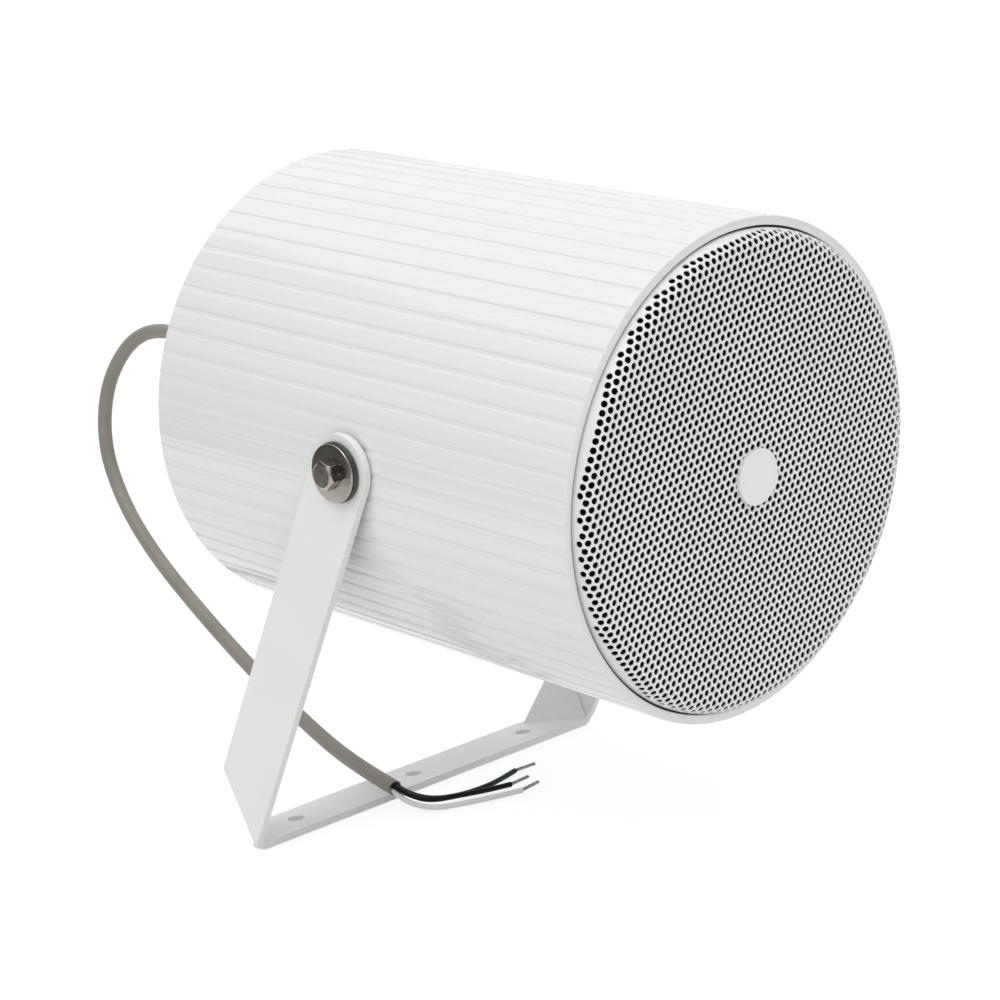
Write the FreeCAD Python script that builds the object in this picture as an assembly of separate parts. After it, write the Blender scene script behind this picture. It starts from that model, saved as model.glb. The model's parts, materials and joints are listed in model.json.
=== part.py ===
import FreeCAD, Part
import math
import os

# Projection speaker on a slanted U-bracket, in millimetres.
# Frame: +Z up from the bracket's underside, origin at the middle of its base, front towards -Y.
# The speaker is modelled about its pivot: local +Z to the front, +Y up, +X along the pivot bolts.

# Tube
TUBE_OD = 185.0
TUBE_LENGTH = 218.0
TUBE_WALL = 4.5
FACET_COUNT = 66
GROOVE_DEPTH = 0.7
GROOVE_WIDTH = 1.3
SEAT_WALL = 3.1
FRONT_SEAT_DEPTH = 14.0
REAR_SEAT_DEPTH = 8.0
SEAT_FIT = 0.15
PORT_COUNT = 4
PORT_INSET = 9.5
PORT_OD = 9.0
PORT_WEB = 6.0
PORT_ROOT = 1.0

# Bracket
STRAP_THICKNESS = 3.0
BASE_WIDTH = 24.5
ARM_WIDTH = 28.0
ARM_GAP = 1.0
BEND_INSIDE_R = 2.5
ARM_LEAN = 32.0
ARM_FOOT_HEIGHT = 2.0
PIVOT_HEIGHT = 156.0
FOLD_WIDTH = 1.5
GUSSET_HEIGHT = 33.0
GUSSET_LENGTH = 20.0
BASE_HOLE_D = 7.0
BASE_HOLE_PITCH = 65.0
SPEAKER_TILT = 8.6

# Pivot hardware
BOLT_D = 6.0
BOLT_HEAD_AF = 10.0
BOLT_HEAD_HEIGHT = 4.0
BOLT_FACE_D = 8.6
BOLT_CHAMFER = 35.0
BOLT_SEAT_D = 9.6
BOLT_SEAT_T = 0.4
BOLT_LENGTH = 25.0
ARM_HOLE_PLAY = 0.6
PIVOT_PLAY = 0.2
RUBBER_WASHER_OD = 22.6
RUBBER_WASHER_T = 1.8
FLAT_WASHER_OD = 22.0
FLAT_WASHER_T = 2.0
FLAT_WASHER_EDGE = 0.7
WASHER_BORE_PLAY = 0.4
PAD_OD = 24.0
NUT_SIZE = 22.0
NUT_DEPTH = 8.0
THREAD_PLAY = 0.1

# Screws into the tube's ports
SCREW_D = 4.0
SCREW_LENGTH = 18.0
SCREW_HEAD_D = 7.0
SCREW_HEAD_HEIGHT = 2.6
SCREW_HOLE_PLAY = 0.2

# Grille
GRILLE_GAP = 1.0
GRILLE_PROUD = 5.4
GRILLE_SHEET = 0.7
GRILLE_EDGE_R = 8.0
GRILLE_HOLE_PITCH = 13.2
GRILLE_HOLE_AF = 7.8
GRILLE_ROW_ANGLE = 9.2
GRILLE_HOLE_MARGIN = 1.5
BADGE_D = 22.0
BADGE_HEIGHT = 2.2
BADGE_EDGE = 0.7
CLOTH_THICKNESS = 0.5
CLOTH_EASE = 0.15

# Baffle and driver
BAFFLE_THICKNESS = 6.0
BAFFLE_LAND = 6.5
FRAME_RIM = 4.0
FRAME_FLANGE = 2.0
FRAME_SHEET = 1.5
FRAME_PLAY = 0.5
BASKET_STRAIGHT = 9.5
BASKET_WINDOWS = 6
BASKET_WINDOW_ANGLE = 42.0
SPIDER_DROP = 2.0
SPIDER_LEDGE_HEIGHT = 8.0
SPIDER_LEDGE_R = 48.0
SPIDER_CUP_R = 40.0
SPIDER_T = 0.6
SPIDER_WAVE = 1.2
SPIDER_WAVES = 4
CONE_DEPTH = 21.0
CONE_T = 0.8
SURROUND_WIDTH = 12.0
SURROUND_LANDING = 4.0
SURROUND_T = 0.8
DUST_CAP_R = 22.0
DUST_CAP_RISE = 6.0
COIL_R = 12.4
COIL_T = 0.8
COIL_BELOW_PLATE = 5.0
COIL_GAP = 0.4
CONE_JOINT_GAP = 0.1
TOP_PLATE_R = 38.0
TOP_PLATE_T = 5.0
MAGNET_R = 45.0
MAGNET_BORE_R = 21.0
MAGNET_T = 15.0
YOKE_PLATE_T = 6.0
FRAME_BORE_R = 30.0

# Rear cover and cable gland
GASKET_THICKNESS = 1.5
GASKET_LAND = 5.5
COVER_THICKNESS = 3.0
GLAND_THREAD_D = 16.0
GLAND_HEX_AF = 22.0
GLAND_HEX_T = 5.0
GLAND_NUT_T = 4.0
GLAND_THREAD_TAIL = 8.0
GLAND_STUB_D = 15.0
GLAND_STUB_L = 7.0
GLAND_CAP_AF = 20.0
GLAND_CAP_GRIP = 9.0
GLAND_CAP_LENGTH = 17.0
GLAND_CAP_GAP = 0.5
GLAND_CAP_END_R = 5.6
GLAND_SEAL_T = 1.4
GLAND_PLAY = 0.1

# Line transformer on the rear cover
CORE_WIDTH = 57.0
CORE_HEIGHT = 48.0
CORE_STACK = 20.0
CORE_LEG = 19.0
CORE_WINDOW = 9.5
CORE_WINDOW_HEIGHT = 28.5
COIL_OVERHANG = 7.0
COIL_PLAY = 0.3
COIL_COVER_GAP = 1.0
CORE_CENTRE_Y = -42.0
STRAP_SHEET = 1.5
STRAP_BAND = 16.0
STRAP_FOOT = 12.0
STRAP_SCREW_D = 4.0
STRAP_SCREW_HEAD_D = 7.0
STRAP_SCREW_HEAD_T = 2.4

# Cable: route corners chosen by hand, in the object's frame
CABLE_D = 6.3
CABLE_ROUTE = [
    (0, 24.7, 173.645), (0, 64.6, 179.679), (0.8, 104.9, 186.8), (0, 142.2, 192.2),
    (-1.8, 170.3, 171.1), (-3.9, 179.6, 140.7), (-7.8, 165.9, 113.4), (-12.4, 140.9, 90.6),
    (-17.0, 105.8, 67.2), (-20.1, 70.0, 44.5), (-22.4, 37.3, 26.0), (-24.6, 8.3, 13.2), (-28.4, -20.2, 7.6),
]
CORE_D = 2.2
BARE_D = 1.4
BARE_LENGTH = 9.0
CORE_ROUTES = {
    "conductor_green": [
        (-28.3, -20.8, 9.0), (-28.7, -29.7, 6.6), (-25.1, -38.9, 4.6), (-14.1, -43.1, 3.9),
        (-1.3, -42.5, 3.2), (12.1, -41.0, 2.2), (26.4, -38.8, 1.3),
    ],
    "conductor_black": [
        (-27.4, -20.6, 6.9), (-27.9, -30.1, 4.2), (-24.6, -39.9, 1.9), (-13.6, -44.0, 1.3),
        (-0.3, -46.6, 1.3), (12.9, -48.5, 1.3),
    ],
    "conductor_white": [
        (-29.6, -20.2, 6.9), (-30.7, -30.6, 4.0), (-27.7, -42.0, 1.6), (-16.9, -47.1, 1.3),
        (-3.4, -51.4, 1.3), (9.1, -55.7, 1.3),
    ],
}
ROUTE_ARC_SHARE = 0.45

# Values that follow
TUBE_R = TUBE_OD / 2
BORE_R = TUBE_R - TUBE_WALL
SEAT_R = TUBE_R - SEAT_WALL
PORT_CIRCLE_R = BORE_R - PORT_INSET
FRONT_Z = TUBE_LENGTH / 2
REAR_Z = -TUBE_LENGTH / 2
BAFFLE_Z = FRONT_Z - FRONT_SEAT_DEPTH
FLANGE_Z = BAFFLE_Z + BAFFLE_THICKNESS
FLANGE_TOP_Z = FLANGE_Z + FRAME_FLANGE
BAFFLE_OPENING_R = PORT_CIRCLE_R - BAFFLE_LAND
FRAME_R = PORT_CIRCLE_R + FRAME_RIM
BASKET_R = BAFFLE_OPENING_R - FRAME_PLAY
CONE_R = BASKET_R - FRAME_SHEET - SURROUND_WIDTH
GRILLE_R = SEAT_R - GRILLE_GAP
GRILLE_Z = FRONT_Z + GRILLE_PROUD
GRILLE_FLAT_R = GRILLE_R - GRILLE_EDGE_R
COIL_OUT_R = COIL_R + COIL_T
POLE_R = COIL_R - COIL_GAP
PLATE_BORE_R = COIL_OUT_R + COIL_GAP
NECK_R = COIL_OUT_R + CONE_JOINT_GAP
CONE_EDGE_Z = FLANGE_TOP_Z + CONE_T
CONE_NECK_Z = CONE_EDGE_Z - CONE_DEPTH
LEDGE_Z = CONE_NECK_Z - CONE_T - SPIDER_DROP
BASKET_Z = LEDGE_Z - SPIDER_LEDGE_HEIGHT
GASKET_Z = REAR_Z + REAR_SEAT_DEPTH
COVER_Z = GASKET_Z - GASKET_THICKNESS
COVER_OUT_Z = COVER_Z - COVER_THICKNESS
GASKET_INNER_R = PORT_CIRCLE_R - GASKET_LAND
CORE_LOW_Z = COVER_Z + COIL_OVERHANG + COIL_COVER_GAP
CORE_HIGH_Z = CORE_LOW_Z + CORE_STACK
GLAND_STUB_Z = COVER_OUT_Z - GLAND_HEX_T
GLAND_END_Z = GLAND_STUB_Z - GLAND_CAP_GAP - GLAND_CAP_LENGTH
CABLE_R = CABLE_D / 2
SCREW_HOLE_R = SCREW_D / 2 + SCREW_HOLE_PLAY
ARM_IN_X = TUBE_R + ARM_GAP
ARM_OUT_X = ARM_IN_X + STRAP_THICKNESS
ARM_HOLE_R = (BOLT_D + ARM_HOLE_PLAY) / 2
BEND_OUTSIDE_R = BEND_INSIDE_R + STRAP_THICKNESS
LEAN_SLOPE = math.tan(math.radians(ARM_LEAN))
ARM_END_R = ARM_WIDTH / 2
ARM_SPAN = ARM_WIDTH / math.cos(math.radians(ARM_LEAN))
BASE_FRONT_Y = -BASE_WIDTH / 2
BASE_REAR_Y = BASE_WIDTH / 2
FOLD_Y = BASE_FRONT_Y + FOLD_WIDTH
KNEE_Y = BASE_FRONT_Y + ARM_SPAN - (GUSSET_HEIGHT - ARM_FOOT_HEIGHT) * LEAN_SLOPE
HEEL_X = ARM_OUT_X - GUSSET_LENGTH
PIVOT_Y = BASE_FRONT_Y + ARM_SPAN / 2 - (PIVOT_HEIGHT - ARM_FOOT_HEIGHT) * LEAN_SLOPE
PIVOT = FreeCAD.Vector(0, PIVOT_Y, PIVOT_HEIGHT)
RUBBER_X = ARM_OUT_X + PIVOT_PLAY
FLAT_X = RUBBER_X + RUBBER_WASHER_T
SEAT_X = FLAT_X + FLAT_WASHER_T
HEAD_X = SEAT_X + BOLT_SEAT_T
WASHER_BORE_R = BOLT_D / 2 + WASHER_BORE_PLAY
Z_AXIS = FreeCAD.Vector(0, 0, 1)
X_AXIS = FreeCAD.Vector(1, 0, 0)
ORIGIN = FreeCAD.Vector(0, 0, 0)
CORNER_UP = 30.0


# Drawing helpers
def vec(x, y, z):
    return FreeCAD.Vector(x, y, z)


def outline_face(points):
    """Flat face inside straight edges."""
    return Part.Face(Part.makePolygon(points + points[:1]))


def spin(start, *steps):
    """Solid of revolution about Z. A step is an end (r, z), or a point on the way and an end for an arc."""
    here = vec(start[0], 0, start[1])
    edges = []
    for step in steps + (start,):
        end = vec(step[-2], 0, step[-1])
        if len(step) == 4:
            edges.append(Part.Arc(here, vec(step[0], 0, step[1]), end).toShape())
        else:
            edges.append(Part.LineSegment(here, end).toShape())
        here = end
    return Part.Face(Part.Wire(edges)).revolve(ORIGIN, Z_AXIS, 360)


def rod(radius, low, high, x=0.0, y=0.0):
    return Part.makeCylinder(radius, high - low, vec(x, y, low))


def ring(outer_r, inner_r, low, high):
    return rod(outer_r, low, high).cut(rod(inner_r, low, high))


def block(x_span, y_span, z_span):
    """Box between pairs of coordinates."""
    size = [high - low for low, high in (x_span, y_span, z_span)]
    return Part.makeBox(*size, vec(x_span[0], y_span[0], z_span[0]))


def hexagon(across_flats, low, high, x=0.0, y=0.0, turn=0.0):
    radius = across_flats / math.sqrt(3)
    angles = [math.radians(turn + 60 * k) for k in range(6)]
    points = [vec(x + radius * math.cos(a), y + radius * math.sin(a), low) for a in angles]
    return outline_face(points).extrude(vec(0, 0, high - low))


def turned(shape, angle, axis=Z_AXIS):
    copy = shape.copy()
    copy.rotate(ORIGIN, axis, angle)
    return copy


def port_angles():
    return [360.0 / PORT_COUNT * (k + 0.5) for k in range(PORT_COUNT)]


def at_ports(shape):
    """Copies of a shape drawn on +X at each screw port's angle."""
    return Part.makeCompound([turned(shape, angle) for angle in port_angles()])


def port_screw_holes(low, high):
    return at_ports(rod(SCREW_HOLE_R, low, high, PORT_CIRCLE_R))


def sideways(shape, side):
    """Turns a shape drawn along Z onto the pivot axis, to the right (1) or the left (-1)."""
    return turned(shape, 90 * side, vec(0, 1, 0))


def in_bracket(shape):
    """Carries a shape from the speaker's own frame to its place between the arms."""
    placed = turned(shape, 90 + SPEAKER_TILT, X_AXIS)
    placed.translate(PIVOT)
    return placed


# Tube
def ribbed_outline():
    pitch = 2 * math.pi / FACET_COUNT
    groove = math.asin(GROOVE_WIDTH / 2 / TUBE_R)
    corners = ((TUBE_R, -groove), (TUBE_R - GROOVE_DEPTH, 0), (TUBE_R, groove))
    points = []
    for k in range(FACET_COUNT):
        for radius, offset in corners:
            angle = pitch * (k + 0.5) + offset
            points.append(vec(radius * math.cos(angle), radius * math.sin(angle), REAR_Z))
    return points


def screw_port():
    post = rod(PORT_OD / 2, GASKET_Z, BAFFLE_Z, PORT_CIRCLE_R)
    web = block((PORT_CIRCLE_R, BORE_R + PORT_ROOT), (-PORT_WEB / 2, PORT_WEB / 2), (GASKET_Z, BAFFLE_Z))
    return post.fuse(web).common(rod(BORE_R + PORT_ROOT, GASKET_Z, BAFFLE_Z))


def housing_tube():
    tube = outline_face(ribbed_outline()).extrude(vec(0, 0, TUBE_LENGTH))
    tube = tube.cut(rod(BORE_R, REAR_Z, FRONT_Z))
    tube = tube.cut(rod(SEAT_R, BAFFLE_Z, FRONT_Z)).cut(rod(SEAT_R, REAR_Z, GASKET_Z))
    tube = tube.fuse(at_ports(screw_port()).Solids).removeSplitter()
    tube = tube.cut(port_screw_holes(GASKET_Z, BAFFLE_Z))
    return tube.cut(sideways(rod(ARM_HOLE_R, -TUBE_R, TUBE_R), 1))


# Front
def grille_holes():
    """Hexagonal openings on a triangular lattice, clear of the badge and of the rounded edge."""
    reach = GRILLE_FLAT_R - GRILLE_HOLE_MARGIN - GRILLE_HOLE_AF / math.sqrt(3)
    keep_out = BADGE_D / 2
    steps = int(reach / GRILLE_HOLE_PITCH) + 2
    holes = []
    for row in range(-steps, steps + 1):
        for column in range(-steps, steps + 1):
            x = GRILLE_HOLE_PITCH * (column + row / 2)
            y = GRILLE_HOLE_PITCH * row * math.sqrt(3) / 2
            if keep_out <= math.hypot(x, y) <= reach and abs(column + row / 2) <= steps:
                holes.append(hexagon(GRILLE_HOLE_AF, GRILLE_Z - GRILLE_SHEET, GRILLE_Z, x, y, CORNER_UP))
    return turned(Part.makeCompound(holes), GRILLE_ROW_ANGLE)


def grille():
    inner_r = GRILLE_R - GRILLE_SHEET
    inner_z = GRILLE_Z - GRILLE_SHEET
    bend_z = GRILLE_Z - GRILLE_EDGE_R
    slant = math.sqrt(0.5)
    inner_edge_r = GRILLE_EDGE_R - GRILLE_SHEET
    dish = spin(
        (0, inner_z), (GRILLE_FLAT_R, inner_z),
        (GRILLE_FLAT_R + inner_edge_r * slant, bend_z + inner_edge_r * slant, inner_r, bend_z),
        (inner_r, FLANGE_Z), (GRILLE_R, FLANGE_Z), (GRILLE_R, bend_z),
        (GRILLE_FLAT_R + GRILLE_EDGE_R * slant, bend_z + GRILLE_EDGE_R * slant, GRILLE_FLAT_R, GRILLE_Z),
        (0, GRILLE_Z))
    return dish.cut(grille_holes())


def grille_badge():
    top = GRILLE_Z + BADGE_HEIGHT
    radius = BADGE_D / 2
    return spin((0, GRILLE_Z), (radius, GRILLE_Z), (radius, top - BADGE_EDGE), (radius - BADGE_EDGE, top),
                (0, top))


def grille_cloth():
    """Cloth glued behind the perforation, drawn down inside the rounded edge."""
    back = GRILLE_Z - GRILLE_SHEET
    bend = GRILLE_EDGE_R - GRILLE_SHEET
    inner = bend - CLOTH_THICKNESS
    start = GRILLE_FLAT_R - CLOTH_EASE
    low = back - bend
    half = math.sqrt(0.5)
    return spin((0, back - CLOTH_THICKNESS), (start, back - CLOTH_THICKNESS),
                (start + inner * half, low + inner * half, start + inner, low), (start + bend, low),
                (start + bend * half, low + bend * half, start, back), (0, back))


def baffle_ring():
    plate = ring(SEAT_R - SEAT_FIT, BAFFLE_OPENING_R, BAFFLE_Z, FLANGE_Z)
    return plate.cut(port_screw_holes(BAFFLE_Z, FLANGE_Z))


# Driver
def basket_windows():
    """Openings between the spokes of the frame's conical wall."""
    low = LEDGE_Z + FRAME_SHEET
    high = FLANGE_TOP_Z - BASKET_STRAIGHT - FRAME_SHEET
    face = outline_face([vec(SPIDER_CUP_R, 0, low), vec(BASKET_R, 0, low), vec(BASKET_R, 0, high),
                         vec(SPIDER_CUP_R, 0, high)])
    wedge = face.revolve(ORIGIN, Z_AXIS, BASKET_WINDOW_ANGLE)
    return Part.makeCompound([turned(wedge, 360.0 / BASKET_WINDOWS * k) for k in range(BASKET_WINDOWS)])


def driver_frame():
    inner_r = BASKET_R - FRAME_SHEET
    bend_z = FLANGE_TOP_Z - BASKET_STRAIGHT
    shell = spin(
        (inner_r, FLANGE_TOP_Z), (FRAME_R, FLANGE_TOP_Z), (FRAME_R, FLANGE_Z), (BASKET_R, FLANGE_Z),
        (BASKET_R, bend_z), (SPIDER_LEDGE_R, LEDGE_Z - FRAME_SHEET),
        (SPIDER_CUP_R + FRAME_SHEET, LEDGE_Z - FRAME_SHEET), (SPIDER_CUP_R + FRAME_SHEET, BASKET_Z),
        (FRAME_BORE_R, BASKET_Z), (FRAME_BORE_R, BASKET_Z + FRAME_SHEET),
        (SPIDER_CUP_R, BASKET_Z + FRAME_SHEET), (SPIDER_CUP_R, LEDGE_Z),
        (SPIDER_LEDGE_R - FRAME_SHEET / 2, LEDGE_Z), (inner_r, bend_z + FRAME_SHEET / 2))
    return shell.cut(basket_windows()).cut(port_screw_holes(FLANGE_Z, FLANGE_TOP_Z))


def cone_top_z(radius):
    """Height of the cone's front face."""
    return CONE_NECK_Z + (radius - NECK_R) * CONE_DEPTH / (CONE_R - NECK_R)


def driver_cone():
    return spin((NECK_R, CONE_NECK_Z - CONE_T), (CONE_R, CONE_EDGE_Z - CONE_T), (CONE_R, CONE_EDGE_Z),
                (NECK_R, CONE_NECK_Z))


def driver_surround():
    inner_r = CONE_R + CONE_JOINT_GAP
    outer_r = BASKET_R - FRAME_SHEET
    roll = (outer_r - inner_r) / 2
    middle = inner_r + roll
    base = FLANGE_TOP_Z
    return spin(
        (inner_r, base), (inner_r + SURROUND_T, base),
        (middle, base + roll - SURROUND_T, outer_r - SURROUND_T, base),
        (outer_r + SURROUND_LANDING, base), (outer_r + SURROUND_LANDING, base + SURROUND_T),
        (outer_r, base + SURROUND_T), (middle, base + roll, inner_r, base + SURROUND_T))


def dust_cap():
    edge_z = cone_top_z(DUST_CAP_R)
    inner_r = DUST_CAP_R - CONE_T
    top = edge_z + DUST_CAP_RISE
    half_r = math.sqrt(0.5) * DUST_CAP_R
    sphere_r = (DUST_CAP_R ** 2 + DUST_CAP_RISE ** 2) / (2 * DUST_CAP_RISE)
    half_z = top - sphere_r + math.sqrt(sphere_r ** 2 - half_r ** 2)
    inner_half_r = half_r * inner_r / DUST_CAP_R
    return spin((0, top - CONE_T), (inner_half_r, half_z - CONE_T, inner_r, edge_z), (DUST_CAP_R, edge_z),
                (half_r, half_z, 0, top))


def spider():
    """Corrugated centring disc between the coil and the frame's ledge."""
    inner_r = NECK_R
    outer_r = SPIDER_CUP_R
    wave = (outer_r - inner_r) / SPIDER_WAVES
    low = LEDGE_Z
    crests = []
    for k in range(SPIDER_WAVES):
        crests.append((inner_r + wave * (k + 0.5), low + SPIDER_WAVE))
        crests.append((inner_r + wave * (k + 1), low))
    under = [(inner_r, low)] + crests + [(SPIDER_LEDGE_R - FRAME_SHEET, low)]
    over = [(r, z + SPIDER_T) for r, z in reversed(under)]
    return spin(under[0], *(under[1:] + over))


def voice_coil():
    return ring(COIL_OUT_R, COIL_R, BASKET_Z - TOP_PLATE_T - COIL_BELOW_PLATE, CONE_NECK_Z + CONE_T)


def top_plate():
    return ring(TOP_PLATE_R, PLATE_BORE_R, BASKET_Z - TOP_PLATE_T, BASKET_Z)


def magnet_ring():
    top = BASKET_Z - TOP_PLATE_T
    return ring(MAGNET_R, MAGNET_BORE_R, top - MAGNET_T, top)


def yoke():
    plate_top = BASKET_Z - TOP_PLATE_T - MAGNET_T
    plate_low = plate_top - YOKE_PLATE_T
    return spin((0, plate_low), (TOP_PLATE_R, plate_low), (TOP_PLATE_R, plate_top), (POLE_R, plate_top),
                (POLE_R, BASKET_Z), (0, BASKET_Z))


def port_screw(seat_z, way):
    """Pan-head screw in a port, its head on seat_z, driven from the front (way 1) or the rear (way -1)."""
    head_radius = SCREW_HEAD_D / 2
    crown = SCREW_HEAD_HEIGHT * way
    screw = spin((0, seat_z - SCREW_LENGTH * way), (SCREW_D / 2, seat_z - SCREW_LENGTH * way),
                 (SCREW_D / 2, seat_z), (head_radius, seat_z), (head_radius, seat_z + crown / 2),
                 (head_radius / 2, seat_z + crown), (0, seat_z + crown))
    screw.translate(vec(PORT_CIRCLE_R, 0, 0))
    return screw


def driver_screws():
    return at_ports(port_screw(FLANGE_TOP_Z, 1))


# Rear
def rear_gasket():
    return ring(SEAT_R - SEAT_FIT, GASKET_INNER_R, COVER_Z, GASKET_Z).cut(port_screw_holes(COVER_Z, GASKET_Z))


def transformer_screw_places():
    x = CORE_WIDTH / 2 + STRAP_SHEET + STRAP_FOOT / 2
    return [(x, CORE_CENTRE_Y), (-x, CORE_CENTRE_Y)]


def rear_cover():
    plate = rod(SEAT_R - SEAT_FIT, COVER_OUT_Z, COVER_Z)
    plate = plate.cut(rod(GLAND_THREAD_D / 2 + GLAND_PLAY, COVER_OUT_Z, COVER_Z))
    for x, y in transformer_screw_places():
        plate = plate.cut(rod(STRAP_SCREW_D / 2 + SCREW_HOLE_PLAY / 2, COVER_OUT_Z, COVER_Z, x, y))
    return plate.cut(port_screw_holes(COVER_OUT_Z, COVER_Z))


def rear_screws():
    return at_ports(port_screw(COVER_OUT_Z, -1))


def cable_bore(low, high):
    return rod(CABLE_R + GLAND_PLAY, low, high)


def gland_body():
    inner_end = COVER_Z + GLAND_THREAD_TAIL
    stub_end = GLAND_STUB_Z - GLAND_STUB_L
    body = hexagon(GLAND_HEX_AF, GLAND_STUB_Z, COVER_OUT_Z)
    thread = rod(GLAND_THREAD_D / 2, COVER_OUT_Z, inner_end)
    body = body.fuse([thread, rod(GLAND_STUB_D / 2, stub_end, GLAND_STUB_Z)])
    return body.removeSplitter().cut(cable_bore(stub_end, inner_end))


def gland_nut():
    low = COVER_Z
    high = low + GLAND_NUT_T
    return hexagon(GLAND_HEX_AF, low, high).cut(rod(GLAND_THREAD_D / 2 + GLAND_PLAY, low, high))


def gland_seal():
    high = GLAND_STUB_Z - GLAND_STUB_L
    return ring(GLAND_STUB_D / 2, CABLE_R + GLAND_PLAY, high - GLAND_SEAL_T, high)


def gland_cap():
    """Sealing cap: a hexagon grip, then a dome drawn in to the cable."""
    high = GLAND_STUB_Z - GLAND_CAP_GAP
    dome_z = high - GLAND_CAP_GRIP
    cavity_z = GLAND_STUB_Z - GLAND_STUB_L - GLAND_SEAL_T
    dome_r = GLAND_CAP_AF / 2
    bulge_r = (dome_r + GLAND_CAP_END_R) / 2 + (dome_r - GLAND_CAP_END_R) / 4
    dome = spin((0, GLAND_END_Z), (GLAND_CAP_END_R, GLAND_END_Z),
                (bulge_r, (GLAND_END_Z + dome_z) / 2, dome_r, dome_z), (0, dome_z))
    cap = hexagon(GLAND_CAP_AF, dome_z, high).fuse(dome).removeSplitter()
    return cap.cut(rod(GLAND_STUB_D / 2 + GLAND_PLAY, cavity_z, high)).cut(cable_bore(GLAND_END_Z, cavity_z))


# Line transformer
def core_span(axis_size, centre=0.0):
    return (centre - axis_size / 2, centre + axis_size / 2)


def transformer_core():
    depth = (CORE_LOW_Z, CORE_HIGH_Z)
    core = block(core_span(CORE_WIDTH), core_span(CORE_HEIGHT, CORE_CENTRE_Y), depth)
    window_y = core_span(CORE_WINDOW_HEIGHT, CORE_CENTRE_Y)
    for side in (-1, 1):
        middle = side * (CORE_LEG + CORE_WINDOW) / 2
        core = core.cut(block(core_span(CORE_WINDOW, middle), window_y, depth))
    return core


def transformer_coil():
    """Winding that fills both windows round the core's middle leg."""
    reach = CORE_LEG / 2 + CORE_WINDOW - COIL_PLAY
    y_span = core_span(CORE_WINDOW_HEIGHT - 2 * COIL_PLAY, CORE_CENTRE_Y)
    winding = block((-reach, reach), y_span, (CORE_LOW_Z - COIL_OVERHANG, CORE_HIGH_Z + COIL_OVERHANG))
    leg = CORE_LEG / 2 + COIL_PLAY
    return winding.cut(block((-leg, leg), y_span, (CORE_LOW_Z - COIL_PLAY, CORE_HIGH_Z + COIL_PLAY)))


def transformer_strap():
    """Folded band over the core with a foot on the cover at each side."""
    band = core_span(STRAP_BAND, CORE_CENTRE_Y)
    top = CORE_HIGH_Z
    side_x = CORE_WIDTH / 2
    outer_x = side_x + STRAP_SHEET
    foot_x = outer_x + STRAP_FOOT
    strap = block((-outer_x, outer_x), core_span(CORE_HEIGHT, CORE_CENTRE_Y), (top, top + STRAP_SHEET))
    reach = CORE_LEG / 2 + CORE_WINDOW + COIL_PLAY
    window = core_span(CORE_WINDOW_HEIGHT, CORE_CENTRE_Y)
    strap = strap.cut(block((-reach, reach), window, (top, top + STRAP_SHEET)))
    for side in (-1, 1):
        leg_x = sorted((side * side_x, side * outer_x))
        foot_span = sorted((side * side_x, side * foot_x))
        strap = strap.fuse([block(leg_x, band, (COVER_Z, top)),
                            block(foot_span, band, (COVER_Z, COVER_Z + STRAP_SHEET))])
    strap = strap.removeSplitter()
    for x, y in transformer_screw_places():
        hole = rod(STRAP_SCREW_D / 2 + SCREW_HOLE_PLAY, COVER_Z, COVER_Z + STRAP_SHEET, x, y)
        strap = strap.cut(hole)
    return strap


def transformer_screws():
    seat = COVER_Z + STRAP_SHEET
    screws = []
    for x, y in transformer_screw_places():
        head = rod(STRAP_SCREW_HEAD_D / 2, seat, seat + STRAP_SCREW_HEAD_T, x, y)
        screws.append(head.fuse(rod(STRAP_SCREW_D / 2, COVER_OUT_Z, seat, x, y)).removeSplitter())
    return Part.makeCompound(screws)


# Pivot
def pivot_pieces():
    """Bolt, washers, pad and nut of one side, drawn along +Z from the speaker's middle."""
    washer_bore = rod(WASHER_BORE_R, 0, HEAD_X)
    corner_r = BOLT_HEAD_AF / math.sqrt(3)
    face_r = BOLT_FACE_D / 2
    head_top = HEAD_X + BOLT_HEAD_HEIGHT
    chamfer_z = head_top - (corner_r - face_r) * math.tan(math.radians(BOLT_CHAMFER))
    crown = spin((0, HEAD_X), (corner_r, HEAD_X), (corner_r, chamfer_z), (face_r, head_top), (0, head_top))
    head = hexagon(BOLT_HEAD_AF, HEAD_X, head_top, turn=CORNER_UP).common(crown)
    shank = rod(BOLT_D / 2, SEAT_X - BOLT_LENGTH, SEAT_X)
    seat = rod(BOLT_SEAT_D / 2, SEAT_X, HEAD_X)
    rim_r = FLAT_WASHER_OD / 2
    edge_r = rim_r - FLAT_WASHER_EDGE
    edge_x = SEAT_X - FLAT_WASHER_EDGE
    half = FLAT_WASHER_EDGE * math.sqrt(0.5)
    washer = spin((WASHER_BORE_R, FLAT_X), (rim_r, FLAT_X), (rim_r, edge_x),
                  (edge_r + half, edge_x + half, edge_r, SEAT_X), (WASHER_BORE_R, SEAT_X))
    pad = rod(PAD_OD / 2, BORE_R, ARM_IN_X - PIVOT_PLAY).cut(washer_bore)
    tube_skin = sideways(rod(TUBE_R, -PAD_OD, PAD_OD), 1)
    nut_face = sideways(rod(BORE_R - THREAD_PLAY, -NUT_SIZE, NUT_SIZE), 1)
    nut = block(core_span(NUT_SIZE), core_span(NUT_SIZE), (BORE_R - THREAD_PLAY - NUT_DEPTH, BORE_R))
    return {
        "pivot_bolt": head.fuse([seat, shank]).removeSplitter(),
        "flat_washer": washer,
        "rubber_washer": ring(RUBBER_WASHER_OD / 2, WASHER_BORE_R, RUBBER_X, FLAT_X),
        "spacer_pad": pad.cut(tube_skin),
        "pivot_nut": nut.common(nut_face).cut(rod(BOLT_D / 2 + THREAD_PLAY, 0, BORE_R)),
    }


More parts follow.
